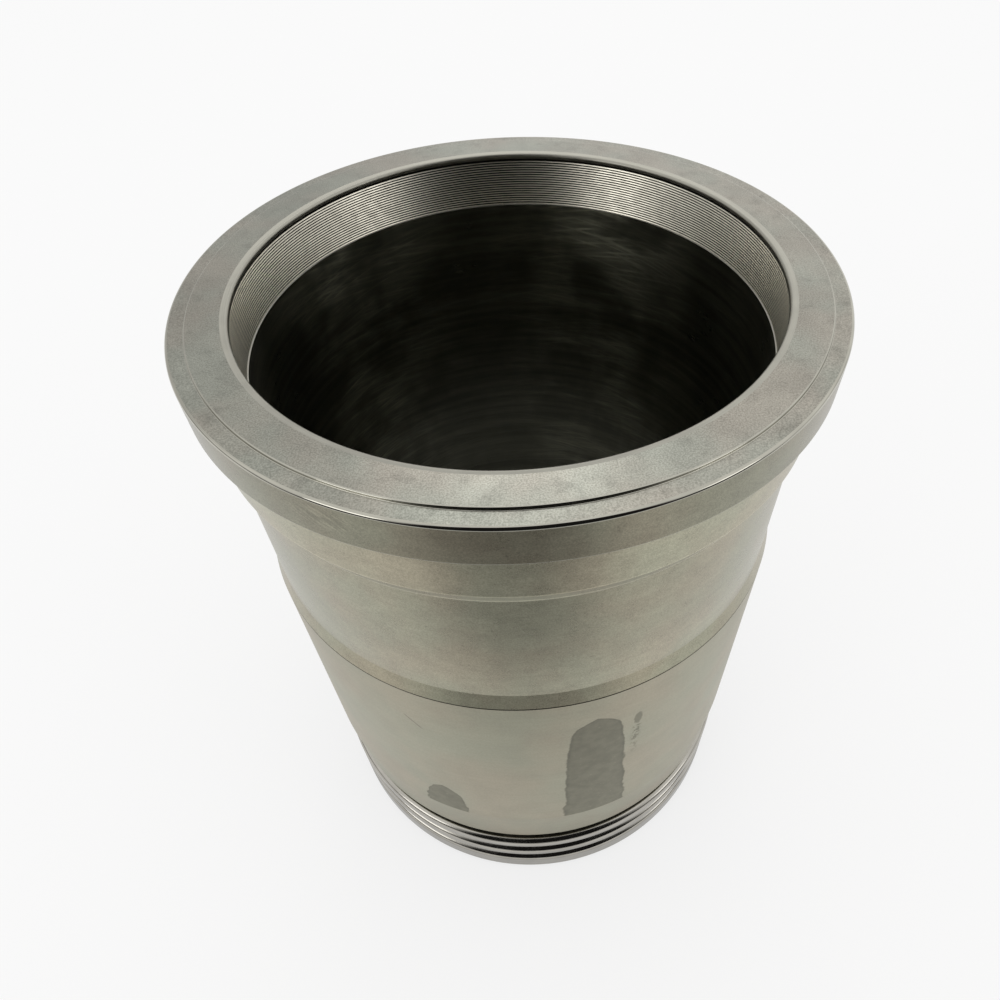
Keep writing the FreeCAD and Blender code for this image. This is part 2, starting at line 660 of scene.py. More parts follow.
class Recipe(Nodes):
    """Node tree of one finish of the liner."""

    def __init__(self, name: str) -> None:
        """Make an empty material of this name.

        Args:
            name: name of the material.
        """
        self.material = bpy.data.materials.new(name)
        self.material.use_nodes = True
        super().__init__(self.material.node_tree)
        self.tree.nodes.clear()
        self.shader = self.node("ShaderNodeBsdfPrincipled")
        output = self.node("ShaderNodeOutputMaterial")
        self.plug(self.shader.outputs["BSDF"], output.inputs["Surface"])
        place = self.node("ShaderNodeTexCoord").outputs["Object"]
        self.place = self.vector("MULTIPLY", place, (1.0 / MM,) * 3)
        parts = self.node("ShaderNodeSeparateXYZ")
        self.plug(self.place, parts.inputs[0])
        self.x, self.y, self.height = parts.outputs
        self.azimuth = self.math("DEGREES", self.math("ARCTAN2", self.y, self.x))
        self.radius = self.reach(self.x, self.y)

    def noise(self, cloud: Cloud, at: Socket | None = None) -> Socket:
        """Return a cloudy pattern from 0 to 1.

        Args:
            cloud: sizes of the pattern.
            at: place to read the pattern at, or None for the point itself.

        Returns:
            The pattern's value socket.
        """
        made = self.node("ShaderNodeTexNoise")
        self.plug(at or self.place, made.inputs["Vector"])
        made.inputs["Scale"].default_value = 1.0 / cloud.size
        made.inputs["Detail"].default_value = cloud.layers
        made.inputs["Roughness"].default_value = cloud.weight
        return made.outputs[0]

    def spread(self, pattern: Socket, gain: float) -> Socket:
        """Return a tone about 1 that a pattern makes lighter and darker by a gain."""
        return self.ramp(pattern, *CLOUD_LEVELS, 1.0 - gain, 1.0 + gain)

    def clouded(self, cloud: Cloud) -> Socket:
        """Return the tone that a cloudy pattern gives the iron."""
        return self.spread(self.noise(cloud), cloud.gain)

    def blend(self, share: Value, first: Socket | Colour, second: Socket | Colour) -> Socket:
        """Return a colour between two others.

        Args:
            share: weight of the second colour, from 0 to 1.
            first: first colour.
            second: second colour.

        Returns:
            The colour's socket.
        """
        made = self.node("ShaderNodeMix", data_type="RGBA")
        self.plug(share, made.inputs[0])
        for value, socket in ((first, made.inputs[6]), (second, made.inputs[7])):
            self.plug(value if isinstance(value, bpy.types.NodeSocket) else (*value, 1.0), socket)
        return made.outputs[2]

    def above(self, height: float) -> Socket:
        """Return the distance above a height, in millimetres."""
        return self.scaled(self.height, 1.0, -height)

    def away(self, azimuth: float) -> Socket:
        """Return the angle from a given direction, in degrees to both sides."""
        return self.math("ABSOLUTE", self.scaled(self.azimuth, 1.0, -azimuth))

    def arc_length(self, azimuth: float, radius: float) -> Socket:
        """Return the distance round the outside from a given direction, in millimetres."""
        turned = self.scaled(self.azimuth, 1.0, -azimuth)
        return self.math("MULTIPLY", turned, math.radians(radius))

    def helix(self, turn: float, across: float, along: float) -> Socket:
        """Return a pattern of marks that climb round the bore.

        Args:
            turn: angle gained per millimetre of height, in degrees.
            across: width of a mark measured round the bore, in millimetres.
            along: length of a mark, measured by its height, in millimetres.

        Returns:
            The pattern's value socket.
        """
        turned = self.node("ShaderNodeVectorRotate", rotation_type="Z_AXIS")
        self.plug(self.place, turned.inputs["Vector"])
        self.plug(self.math("MULTIPLY", self.height, math.radians(turn)), turned.inputs["Angle"])
        parts = self.node("ShaderNodeSeparateXYZ")
        self.plug(turned.outputs[0], parts.inputs[0])
        slow = self.math("MULTIPLY", self.height, across / along)
        at = self.combine(parts.outputs[0], parts.outputs[1], slow)
        return self.noise(Cloud(across, weight=MARK_WEIGHT), at)

    def lathe(self, lines: Lines) -> Socket:
        """Return fine marks that run round the axis.

        Args:
            lines: sizes of the marks.

        Returns:
            The pattern's value socket.
        """
        slow = lines.pitch / lines.fade
        profile = self.math("ADD", self.height, self.radius)
        at = self.combine(
            self.math("MULTIPLY", self.x, slow), self.math("MULTIPLY", self.y, slow), profile
        )
        return self.noise(Cloud(lines.pitch, weight=MARK_WEIGHT), at)

    def paint(self, colour: Socket, rough: Socket) -> None:
        """Give the surface its colour and its roughness."""
        self.plug(colour, self.shader.inputs["Base Color"])
        self.plug(rough, self.shader.inputs["Roughness"])

    def bump(self, height: Socket, relief: Relief) -> None:
        """Raise the surface by a pattern.

        Args:
            height: pattern from 0 to 1.
            relief: height and weight of the unevenness.
        """
        made = self.node("ShaderNodeBump")
        made.inputs["Strength"].default_value = relief.weight
        made.inputs["Distance"].default_value = relief.depth * MM
        self.plug(height, made.inputs["Height"])
        self.plug(made.outputs[0], self.shader.inputs["Normal"])


@dataclass(frozen=True)
class Iron:
    """Bare iron surface with its own colour, polish and grain."""

    name: str
    colour: Colour
    rough: float

    def make(self) -> bpy.types.Material:
        """Return the finish as a material.

        Returns:
            The new material.
        """
        recipe = Recipe(self.name)
        recipe.shader.inputs["Metallic"].default_value = 1.0
        self.detail(recipe)
        return recipe.material

    def detail(self, recipe: Recipe) -> None:
        """Give the surface its colour, polish and grain."""
        raise NotImplementedError

    def tint(self, recipe: Recipe, tone: Socket) -> Socket:
        """Return the iron's colour made lighter or darker by a tone."""
        return recipe.vector("MULTIPLY", recipe.combine(tone, tone, tone), self.colour)

    def drift(self, recipe: Recipe, colour: Socket, size: float) -> Socket:
        """Return a colour that drifts slowly between a warm and a cool cast over a size in mm."""
        share = recipe.ramp(recipe.noise(Cloud(size)), *CAST_LEVELS, 0.0, 1.0)
        return recipe.vector("MULTIPLY", colour, recipe.blend(share, WARM_CAST, COOL_CAST))

    def roughness(self, recipe: Recipe, pattern: Socket, change: Range) -> Socket:
        """Return the roughness, changed at both ends of a cloudy pattern."""
        low, high = change
        return recipe.ramp(pattern, *CLOUD_LEVELS, self.rough + low, self.rough + high)


@dataclass(frozen=True)
class Scuffs:
    """Slanting rub marks on the side of the flange."""

    azimuth: float = -117.0
    height: float = 198.0
    radius: float = 78.75
    slant: float = 0.55
    marks: Cloud = Cloud(1.0, weight=0.6)
    mark_stretch: float = 0.16
    mark_gain: Ramp = (0.38, 0.66, -0.18, 0.22)
    place_flatness: float = 0.4
    place: Ramp = (1.5, 4.0, 1.0, 0.0)

    def tone(self, recipe: Recipe) -> Socket:
        """Return how much lighter or darker the marks make the skin.

        Args:
            recipe: node tree of the finish.

        Returns:
            The tone's socket, 1 away from the marks.
        """
        across = recipe.arc_length(self.azimuth, self.radius)
        up = recipe.above(self.height)
        side = recipe.math("ADD", recipe.scaled(across, self.slant), up)
        along = recipe.math("SUBTRACT", across, recipe.scaled(up, self.slant))
        at = recipe.combine(side, recipe.scaled(along, self.mark_stretch), 0.0)
        gain = recipe.ramp(recipe.noise(self.marks, at), *self.mark_gain)
        reach = recipe.reach(recipe.scaled(across, self.place_flatness), up)
        share = recipe.ramp(reach, *self.place)
        return recipe.math("ADD", recipe.product(gain, share), 1.0)


@dataclass(frozen=True)
class Blasted(Iron):
    """Matt skin of the flange, pilot and neck: fine speckle, soft blotches and a few small pits."""

    name: str = "blasted skin"
    colour: Colour = (0.358, 0.339, 0.25)
    rough: float = 0.28
    rough_change: Range = (-0.01, 0.02)
    grain: Cloud = Cloud(0.36, weight=0.75, gain=0.16)
    cluster: Cloud = Cloud(5.0, layers=4.0, weight=0.65, gain=0.07)
    blotch: Cloud = Cloud(32.0, gain=0.05)
    lines: Lines = Lines(pitch=1.2, fade=9.0, gain=0.035)
    pits: Cloud = Cloud(0.9, layers=0.0)
    pit_tone: Ramp = (0.13, 0.22, 0.8, 1.0)
    relief: Relief = Relief(depth=0.02, weight=0.3)
    cast_size: float = 20.0
    # Painted shade: the skin is darker from the middle of the neck up.
    painted_neck_shade: Ramp = (138.0, 152.0, 1.0, 0.92)
    lead_foot: float = 173.8
    # Painted light: the lead and pilot are lighter.
    painted_lead_light: float = 1.17
    flange_foot: float = 192.3
    # Painted shade: the flange is darker.
    painted_flange_shade: float = 0.66
    foot_blur: float = 0.2
    # Painted highlights: lighter lines along the lead's edges at these heights.
    edges: tuple[float, ...] = (174.2, 177.9)
    edge_highlight_tone: Ramp = (0.2, 0.55, 1.45, 1.0)
    scuffs: Scuffs = Scuffs()

    def detail(self, recipe: Recipe) -> None:
        """Speckle the skin, paint shade on the flange and the upper neck, light on the lead and pilot
        and highlights along the lead's edges, and darken the scuffed place on the flange.

        Args:
            recipe: node tree of the finish.
        """
        grain = recipe.noise(self.grain)
        cluster = recipe.noise(self.cluster)
        # The tone holds painted shade on the upper neck and the flange, painted light on the lead and
        # pilot, and painted highlights along the lead's edges.
        tone = recipe.product(
            recipe.spread(grain, self.grain.gain),
            recipe.spread(cluster, self.cluster.gain),
            recipe.clouded(self.blotch),
            recipe.spread(recipe.lathe(self.lines), self.lines.gain),
            recipe.ramp(recipe.noise(self.pits), *self.pit_tone),
            recipe.ramp(recipe.height, *self.painted_neck_shade),
            self.from_foot(recipe, self.lead_foot, self.painted_lead_light),
            self.from_foot(recipe, self.flange_foot, self.painted_flange_shade),
            self.scuffs.tone(recipe),
            *(self.edge_highlight(recipe, height) for height in self.edges),
        )
        colour = self.drift(recipe, self.tint(recipe, tone), self.cast_size)
        recipe.paint(colour, self.roughness(recipe, cluster, self.rough_change))
        recipe.bump(grain, self.relief)

    def from_foot(self, recipe: Recipe, foot: float, tone: float) -> Socket:
        """Return a tone that starts at a height and is 1 below it."""
        return recipe.ramp(recipe.height, foot - self.foot_blur, foot + self.foot_blur, 1.0, tone)

    def edge_highlight(self, recipe: Recipe, height: float) -> Socket:
        """Return the tone of a painted highlight, a lighter line that runs round the skin at a
        height.
        """
        return recipe.ramp(recipe.math("ABSOLUTE", recipe.above(height)), *self.edge_highlight_tone)


@dataclass(frozen=True)
class Stain:
    """Dull patch on the body, standing on the edge of the taper, with a rounded top."""

    azimuth: float
    half_width: float
    top: float
    cap: float
    lean: float = 0.0
    flare: float = 0.0
    foot: float = Body.foot
    foot_blur: float = 0.3
    cap_power: float = 4.5
    wave: float = 0.17
    waves: Cloud = Cloud(7.0, layers=3.0, weight=0.6)
    edge: Ramp = (-0.03, 0.05, 0.0, 1.0)
    rim_tone: Ramp = (0.0, 0.16, 0.8, 1.0)

    def depth(self, recipe: Recipe) -> Socket:
        """Return 1 well inside the patch, going down through 0 at its edge.

        Args:
            recipe: node tree of the finish.

        Returns:
            The depth's socket.
        """
        up = recipe.above(self.foot)
        middle = recipe.arc_length(self.azimuth, BODY_RADIUS)
        leaning = recipe.math("ADD", middle, recipe.scaled(up, self.lean))
        across = recipe.math("ABSOLUTE", leaning)
        half = recipe.scaled(up, -self.flare, self.half_width)
        rise = recipe.scaled(recipe.height, 1.0 / self.cap, -(self.top - self.cap) / self.cap)
        rounded = recipe.math("POWER", recipe.math("MAXIMUM", rise, 0.0), self.cap_power)
        wander = recipe.scaled(recipe.noise(self.waves), 2.0 * self.wave, -self.wave)
        edge = recipe.math("ADD", recipe.math("DIVIDE", across, half), rounded)
        return recipe.math("SUBTRACT", recipe.math("ADD", wander, 1.0), edge)

    def share(self, recipe: Recipe, depth: Socket) -> Socket:
        """Return how much of the patch shows, from its depth and its straight foot.

        Args:
            recipe: node tree of the finish.
            depth: depth of a point inside the patch.

        Returns:
            The share's socket, from 0 to 1.
        """
        inside = recipe.ramp(depth, *self.edge)
        low, high = self.foot - self.foot_blur, self.foot + self.foot_blur
        return recipe.product(inside, recipe.ramp(recipe.height, low, high, 0.0, 1.0))


@dataclass(frozen=True)
class Specks:
    """Column of small dull specks beside the tall stain, with a round spot above it."""

    azimuth: float = -67.9
    low: float = 76.0
    high: float = 105.0
    end_blur: float = 1.0
    band: Ramp = (0.4, 2.0, 1.0, 0.0)
    dots: Cloud = Cloud(1.3, layers=3.0, weight=0.6)
    dot_share: Ramp = (0.56, 0.62, 0.0, 1.0)
    dot_rise: float = 0.09
    spot_height: float = 109.0
    spot_flatness: float = 0.4
    spot_share: Ramp = (1.1, 1.5, 0.8, 0.0)
    waves: Cloud = Cloud(1.6)
    wave: float = 0.4

    def share(self, recipe: Recipe) -> Socket:
        """Return where the specks and the spot lie.

        Args:
            recipe: node tree of the finish.

        Returns:
            The share's socket, from 0 to 1.
        """
        across = recipe.arc_length(self.azimuth, BODY_RADIUS)
        band = recipe.ramp(recipe.math("ABSOLUTE", across), *self.band)
        rise = recipe.ramp(recipe.height, self.low, self.high, 0.0, 1.0)
        ends = recipe.ramp(recipe.height, self.high - self.end_blur, self.high, 1.0, 0.0)
        dots = recipe.math("ADD", recipe.noise(self.dots), recipe.scaled(rise, self.dot_rise))
        shown = recipe.product(band, ends, rise, recipe.ramp(dots, *self.dot_share))
        flat = self.spot_flatness
        up = recipe.scaled(recipe.height, flat, -flat * self.spot_height)
        wander = recipe.scaled(recipe.noise(self.waves), 2.0 * self.wave, -self.wave)
        reach = recipe.math("ADD", recipe.reach(across, up), wander)
        return recipe.math("MAXIMUM", shown, recipe.ramp(reach, *self.spot_share))


@dataclass(frozen=True)
class Scratch:
    """One faint scratch that slants down from its top."""

    azimuth: float = -117.5
    top: float = 114.3
    length: float = 8.5
    slant: tuple[float, float] = (0.66, 0.75)
    width: Ramp = (0.1, 0.4, 1.0, 0.0)
    start_blur: float = 1.5
    end_blur: float = 2.0
    gain: float = -0.4

    def tone(self, recipe: Recipe) -> Socket:
        """Return how dark the scratch makes the iron.

        Args:
            recipe: node tree of the finish.

        Returns:
            The tone's socket, 1 away from the scratch.
        """
        over, downwards = self.slant
        across = recipe.arc_length(self.azimuth, BODY_RADIUS)
        down = recipe.scaled(recipe.height, -1.0, self.top)
        side = recipe.math("SUBTRACT", recipe.scaled(across, downwards), recipe.scaled(down, over))
        along = recipe.math("ADD", recipe.scaled(across, over), recipe.scaled(down, downwards))
        thin = recipe.ramp(recipe.math("ABSOLUTE", side), *self.width)
        starts = recipe.ramp(along, 0.0, self.start_blur, 0.0, 1.0)
        ends = recipe.ramp(along, self.length - self.end_blur, self.length, 1.0, 0.0)
        return recipe.scaled(recipe.product(thin, starts, ends), self.gain, 1.0)


@dataclass(frozen=True)
class Ground(Iron):
    """Smooth ground body with faint bands round it, two dull stains, small specks and a scratch."""

    name: str = "ground body"
    colour: Colour = (0.375, 0.356, 0.266)
    stained: Colour = (0.25, 0.241, 0.182)
    rough: float = 0.4
    stained_rough: float = 0.52
    grain: Cloud = Cloud(0.5, layers=1.0, weight=0.6, gain=0.045)
    cloud: Cloud = Cloud(9.0, layers=3.0, gain=0.035)
    lines: Lines = Lines(pitch=1.1, fade=50.0, gain=0.02)
    relief: Relief = Relief(depth=0.008, weight=0.25)
    cast_size: float = 26.0
    mottle: Cloud = Cloud(3.4, layers=4.0, weight=0.6)
    mottle_tone: Ramp = (0.3, 0.7, 0.89, 1.08)
    flecks: Cloud = Cloud(0.9, layers=1.0)
    fleck_tone: Ramp = (0.68, 0.8, 1.0, 1.35)
    stains: tuple[Stain, ...] = (
        Stain(azimuth=-76.0, half_width=10.3, top=117.5, cap=17.5, lean=0.024, flare=0.042),
        Stain(
            azimuth=-112.9,
            half_width=7.3,
            top=69.0,
            cap=15.0,
            flare=0.08,
            wave=0.28,
            waves=Cloud(4.0, layers=3.0, weight=0.6),
        ),
    )
    specks: Specks = Specks()
    scratch: Scratch = Scratch()

    def detail(self, recipe: Recipe) -> None:
        """Colour the clean iron, then lay the stains, the specks and the scratch over it.

        Args:
            recipe: node tree of the finish.
        """
        grain = recipe.noise(self.grain)
        lines = recipe.lathe(self.lines)
        tone = recipe.product(
            recipe.spread(grain, self.grain.gain),
            recipe.clouded(self.cloud),
            recipe.spread(lines, self.lines.gain),
            self.scratch.tone(recipe),
        )
        clean = self.drift(recipe, self.tint(recipe, tone), self.cast_size)
        mottle = recipe.product(
            recipe.ramp(recipe.noise(self.mottle), *self.mottle_tone),
            recipe.ramp(recipe.noise(self.flecks), *self.fleck_tone),
        )
        dull = self.specks.share(recipe)
        colour = recipe.blend(dull, clean, self.stained)
        for stain in self.stains:
            depth = stain.depth(recipe)
            dark = recipe.product(mottle, recipe.ramp(depth, *stain.rim_tone))
            laid = recipe.vector("MULTIPLY", recipe.combine(dark, dark, dark), self.stained)
            share = stain.share(recipe, depth)
            colour = recipe.blend(share, colour, laid)
            dull = recipe.math("MAXIMUM", dull, share)
        recipe.paint(colour, recipe.ramp(dull, 0.0, 1.0, self.rough, self.stained_rough))
        recipe.bump(recipe.math("ADD", grain, lines), self.relief)


@dataclass(frozen=True)
class Streaks:
    """Faint dark marks that run out from the bore over a part of the top face."""

    azimuth: float = -125.0
    half_angle: float = 40.0
    blur: float = 15.0
    marks: Cloud = Cloud(0.9, weight=0.6)
    mark_radius: float = 20.0
    mark_stretch: float = 0.12
    mark_share: Ramp = (0.2, 0.4, 1.0, 0.0)
    gain: float = -0.2

    def tone(self, recipe: Recipe) -> Socket:
        """Return how dark the marks make the face.

        Args:
            recipe: node tree of the finish.

        Returns:
            The tone's socket, 1 away from the marks.
        """
        around = recipe.scaled(recipe.azimuth, math.radians(self.mark_radius))
        at = recipe.combine(around, recipe.scaled(recipe.radius, self.mark_stretch), 0.0)
        marks = recipe.ramp(recipe.noise(self.marks, at), *self.mark_share)
        inner = self.half_angle - self.blur
        share = recipe.ramp(recipe.away(self.azimuth), inner, self.half_angle, 1.0, 0.0)
        return recipe.scaled(recipe.product(marks, share), self.gain, 1.0)


@dataclass(frozen=True)
class Lapped(Iron):
    """Flat top face: fine speckle, soft smudges, faint marks that run out from the bore."""

    name: str = "lapped face"
    colour: Colour = (0.335, 0.328, 0.28)
    rough: float = 0.28
    grain: Cloud = Cloud(0.34, weight=0.75, gain=0.23)
    cloud: Cloud = Cloud(11.0, layers=3.0, weight=0.55)
    cloud_tone: Ramp = (0.3, 0.7, 0.92, 1.06)
    smudge: Cloud = Cloud(4.0, layers=3.0, weight=0.6)
    smudge_tone: Ramp = (0.22, 0.5, 0.84, 1.03)
    smudge_levels: Range = (0.25, 0.6)
    smudge_rough: float = 0.31
    rings: Lines = Lines(pitch=0.5, fade=40.0, gain=0.02)
    relief: Relief = Relief(depth=0.005, weight=0.12)
    cast_size: float = 18.0
    streaks: Streaks = Streaks()

    def detail(self, recipe: Recipe) -> None:
        """Speckle and smudge the face.

        Args:
            recipe: node tree of the finish.
        """
        grain = recipe.noise(self.grain)
        smudge = recipe.noise(self.smudge)
        rings = recipe.lathe(self.rings)
        tone = recipe.product(
            recipe.spread(grain, self.grain.gain),
            recipe.ramp(recipe.noise(self.cloud), *self.cloud_tone),
            recipe.ramp(smudge, *self.smudge_tone),
            recipe.spread(rings, self.rings.gain),
            self.streaks.tone(recipe),
        )
        colour = self.drift(recipe, self.tint(recipe, tone), self.cast_size)
        rough = recipe.ramp(smudge, *self.smudge_levels, self.smudge_rough, self.rough)
        recipe.paint(colour, rough)
        recipe.bump(recipe.math("ADD", grain, rings), self.relief)


@dataclass(frozen=True)
class Turned(Iron):
    """Cut surface with fine marks that run round the axis."""

    lines: Lines
    relief: Relief
    cloud: Cloud = Cloud(7.0, gain=0.06)
    rough_change: Range = (-0.02, 0.04)

    def detail(self, recipe: Recipe) -> None:
        """Run the marks of the tool round the axis.

        Args:
            recipe: node tree of the finish.
        """
        marks = recipe.lathe(self.lines)
        cloud = recipe.noise(self.cloud)
        tone = recipe.product(
            recipe.spread(marks, self.lines.gain), recipe.spread(cloud, self.cloud.gain)
        )
        recipe.paint(self.tint(recipe, tone), self.roughness(recipe, cloud, self.rough_change))
        recipe.bump(marks, self.relief)


@dataclass(frozen=True)
class Ringed(Iron):
    """Belt of fine turned rings, with painted shade on the flank of each ring that faces down and
    painted light on the flank that faces up.
    """

    name: str = "ringed belt"
    colour: Colour = (0.5, 0.478, 0.408)
    rough: float = 0.34
    rough_change: Range = (0.05, 0.0)
    top: float = 201.0
    pitch: float = Mouth.ring_pitch
    # Painted shade and light: the downward flank of each ring is near black, the upward one lighter.
    painted_flank_shading: Ramp = (0.52, 0.64, 0.04, 1.9)
    cloud: Cloud = Cloud(3.0, layers=3.0, weight=0.6)
    cloud_tone: Ramp = (0.3, 0.7, 0.92, 1.07)

    def detail(self, recipe: Recipe) -> None:
        """Paint shade on the downward flanks and light on the upward ones, and cloud the belt a
        little.

        Args:
            recipe: node tree of the finish.
        """
        turns = recipe.scaled(recipe.height, -1.0 / self.pitch, self.top / self.pitch)
        # Painted shade on downward flanks, painted light on upward ones.
        flank_shading = recipe.ramp(recipe.math("FRACT", turns), *self.painted_flank_shading)
        cloud = recipe.noise(self.cloud)
        tone = recipe.product(flank_shading, recipe.ramp(cloud, *self.cloud_tone))
        recipe.paint(self.tint(recipe, tone), self.roughness(recipe, cloud, self.rough_change))


@dataclass(frozen=True)
class Honed(Iron):
    """Bore wall with crossed honing marks, painted highlights where clusters of marks are lighter,
    and painted reflections in two stretches at the back.
    """

    name: str = "honed bore"
    colour: Colour = (0.3, 0.298, 0.24)
    rough: float = 0.27
    climb: float = 5.0
    mark_width: float = 5.0
    mark_length: float = 5.0
    mark_share: Ramp = (0.4, 0.85, 0.35, 1.0)
    cluster: Cloud = Cloud(18.0, layers=3.0)
    cluster_share: Ramp = (0.35, 0.65, 0.2, 1.0)
    rings: Lines = Lines(pitch=2.6, fade=90.0)
    ring_tone: Ramp = (0.35, 0.65, 0.86, 1.14)
    base_tone: float = 0.6
    glint_gain: float = 1.5
    glint_rough: float = 0.24
    relief: Relief = Relief(depth=0.006, weight=0.2)
    # Painted reflections: two upright stretches at the back where the marks are painted lighter.
    reflection_azimuths: tuple[float, ...] = (62.0, 138.0)
    reflection_half_angle: float = 34.0
    reflection_share: float = 0.8
    # Painted light: the wall's colour is lighter towards the mouth, where light falls in.
    painted_mouth_light: Ramp = (137.3, 187.3, 1.0, 1.7)

    def detail(self, recipe: Recipe) -> None:
        """Cross two sets of marks and paint clusters of them lighter where they catch the light, most
        in the two stretches of painted reflection.

        Args:
            recipe: node tree of the finish.
        """
        rising = recipe.helix(-self.climb, self.mark_width, self.mark_length)
        falling = recipe.helix(self.climb, self.mark_width, self.mark_length)
        marks = recipe.math("MAXIMUM", rising, falling)
        # Painted highlight: clusters of marks lighter in colour, most in the two stretches of painted
        # reflection.
        glint = recipe.product(
            recipe.ramp(marks, *self.mark_share),
            recipe.ramp(recipe.noise(self.cluster), *self.cluster_share),
            self.painted_reflections(recipe),
        )
        # Tone with painted highlights on the marks and painted light towards the mouth.
        tone = recipe.product(
            recipe.scaled(glint, self.glint_gain, self.base_tone),
            recipe.ramp(recipe.lathe(self.rings), *self.ring_tone),
            recipe.ramp(recipe.height, *self.painted_mouth_light),
        )
        rough = recipe.scaled(glint, self.glint_rough, self.rough)
        recipe.paint(self.tint(recipe, tone), rough)
        recipe.bump(marks, self.relief)

    def painted_reflections(self, recipe: Recipe) -> Socket:
        """Return where reflections are painted on the wall: two upright stretches at the back of the
        bore.

        Args:
            recipe: node tree of the finish.

        Returns:
            The share's socket, from 0 to 1.
        """
        total: Value = 1.0 - self.reflection_share
        for azimuth in self.reflection_azimuths:
            away = recipe.away(azimuth)
            share = recipe.ramp(away, 0.0, self.reflection_half_angle, self.reflection_share, 0.0)
            total = recipe.math("ADD", total, share)
        return total


FINISHES: dict[Finish, Iron] = {
    Finish.BLASTED: Blasted(),
    Finish.GROUND: Ground(),
    Finish.LAND: Turned(
        "polished land", (0.43, 0.412, 0.37), 0.13, Lines(0.3, 30.0, 0.04), Relief(0.003, 0.12)
    ),
    Finish.BURNISHED: Turned(
        "burnished edge", (0.46, 0.446, 0.386), 0.045, Lines(0.4, 30.0, 0.03), Relief(0.001, 0.05)
    ),
    Finish.FACE: Lapped(),
    Finish.LIP: Turned(
        "polished lip", (0.36, 0.35, 0.303), 0.36, Lines(0.4, 30.0, 0.05), Relief(0.003, 0.12)
    ),
    Finish.BELT: Ringed(),
    Finish.HONED: Honed(),
    # Painted shade: the grooves, the relief, the fine line and the chamfers are near black for the
    # shade in them.
    Finish.TURNED: Turned(
        "turned recess in painted shade", (0.12, 0.114, 0.094), 0.36, Lines(0.35, 30.0, 0.1), Relief(0.01, 0.3)
    ),
}


# ---------------------------------------------------------------------------------------
# Studio
# ---------------------------------------------------------------------------------------


@dataclass(frozen=True)
class Camera:
    """Camera that stands close over the front of the flange and looks steeply down."""

    back: float = 157.38
    height: float = 297.37
    tilt: float = 48.0173
    turn: float = -1.3213
    lean: float = -2.2076
    lens: float = 26.584
    shift_across: float = -0.03246
    shift_up: float = -0.00244
    sensor: float = 36.0
    clip: Range = (0.01, 20.0)

    def place(self) -> None:
        """Put the camera in the scene."""
        data = bpy.data.cameras.new("camera")
        data.lens = self.lens
        data.sensor_width = self.sensor
        data.shift_x = self.shift_across
        data.shift_y = self.shift_up
        data.clip_start, data.clip_end = self.clip
        made = bpy.data.objects.new("camera", data)
        bpy.context.scene.collection.objects.link(made)
        turned = (
            Matrix.Rotation(math.radians(self.turn), 3, "Z")
            @ Matrix.Rotation(math.radians(90.0 - self.tilt), 3, "X")
            @ Matrix.Rotation(math.radians(self.lean), 3, "Z")
        )
        made.location = (0.0, -self.back * MM, self.height * MM)
        made.rotation_euler = turned.to_euler()
        bpy.context.scene.camera = made


@dataclass(frozen=True)
class Lamp:
    """Square soft lamp, aimed at a height on the bore's axis."""

    name: str
    azimuth: float
    elevation: float
    distance: float
    width: float
    level: float
    aim: float = 0.15

    def hang(self) -> None:
        """Put the lamp in the scene."""
        data = bpy.data.lights.new(self.name, "AREA")
        data.shape = "SQUARE"
        data.size = self.width
        data.energy = self.level * math.pi * self.width**2
        made = bpy.data.objects.new(self.name, data)
        bpy.context.scene.collection.objects.link(made)
        around, up = math.radians(self.azimuth), math.radians(self.elevation)
        away = Vector(
            (math.cos(up) * math.cos(around), math.cos(up) * math.sin(around), math.sin(up))
        )
        made.location = Vector((0.0, 0.0, self.aim)) + self.distance * away
        made.rotation_euler = away.to_track_quat("Z", "Y").to_euler()


@dataclass(frozen=True)
class Doorway:
    """Dim stretch of the surroundings, from the ground up to a height, with soft edges."""

    azimuth: float
    half_angle: float
    top: float
    dimming: float
    softness: float = 12.0

    def shade(self, nodes: Nodes, azimuth: Socket, elevation: Socket) -> Socket:
        """Return how much the doorway takes from the light of a direction.

        Args:
            nodes: node tree of the surroundings.
            azimuth: direction round the axis, in degrees.
            elevation: direction above the horizon, in degrees.

        Returns:
            The share's socket, from 0 to 1.
        """
        turned = nodes.math("SUBTRACT", azimuth, self.azimuth)
        away = nodes.math("PINGPONG", turned, 180.0)
        soft = self.softness
        across = nodes.ramp(away, self.half_angle - soft, self.half_angle + soft, self.dimming, 0.0)
        return nodes.math(
            "MULTIPLY", across, nodes.ramp(elevation, self.top - soft, self.top + soft, 1.0, 0.0)
        )


